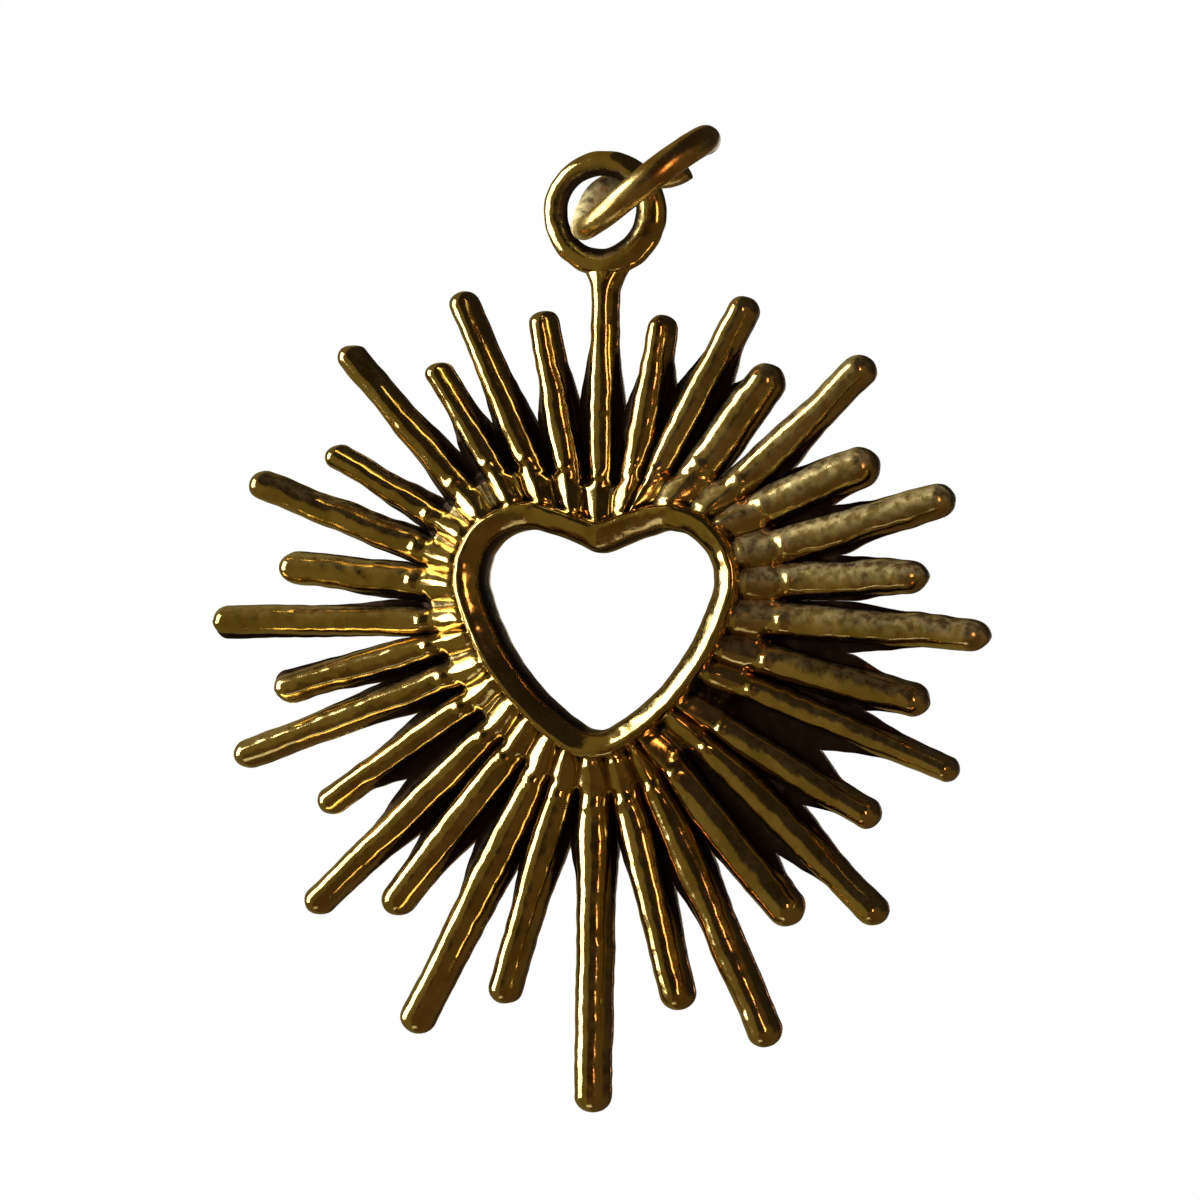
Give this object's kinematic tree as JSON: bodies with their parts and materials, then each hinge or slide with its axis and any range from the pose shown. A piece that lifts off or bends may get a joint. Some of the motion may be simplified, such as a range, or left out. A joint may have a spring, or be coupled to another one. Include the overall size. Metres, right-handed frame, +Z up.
{
  "type": "heart charm",
  "caption": "Cast sunburst charm: an open heart framed by a round bead in a burst of tapered rays, hung by a stem and loop from a split jump ring.",
  "frame": {"origin": "middle of the jump ring, where a chain or cord holds the charm", "axes": "+Z up towards the jump ring, -Y the front of the charm, +X to the right seen from the front; the flat back faces +Y"},
  "size_m": [0.0285, 0.0064, 0.0352],
  "materials": {
    "antique_brass": "cast, polished on the crests, dark patina in the hollows",
    "ring_brass": "drawn wire, lightly tarnished"
  },
  "bodies": {
    "jump_ring": {"jump_ring": "ring_brass"},
    "charm": {"heart_rim": "antique_brass", "stem": "antique_brass", "hanging_loop": "antique_brass", "ray_01": "antique_brass", "ray_02": "antique_brass", "ray_03": "antique_brass", "ray_04": "antique_brass", "ray_05": "antique_brass", "ray_06": "antique_brass", "ray_07": "antique_brass", "ray_08": "antique_brass", "ray_09": "antique_brass", "ray_10": "antique_brass", "ray_11": "antique_brass", "ray_12": "antique_brass", "ray_13": "antique_brass", "ray_14": "antique_brass", "ray_15": "antique_brass", "ray_16": "antique_brass", "ray_17": "antique_brass", "ray_18": "antique_brass", "ray_19": "antique_brass", "ray_20": "antique_brass", "ray_21": "antique_brass", "ray_22": "antique_brass", "ray_23": "antique_brass", "ray_24": "antique_brass", "ray_25": "antique_brass", "ray_26": "antique_brass", "ray_27": "antique_brass", "ray_28": "antique_brass", "ray_29": "antique_brass", "ray_30": "antique_brass", "ray_31": "antique_brass"}
  },
  "joints": [
    {"name": "charm_swing", "type": "hinge", "parent": "jump_ring", "child": "charm", "pos_m": [-0.00176, 0.00138, -0.00094], "axis": [0, 1, 0], "range_deg": [-70, 175]}
  ]
}
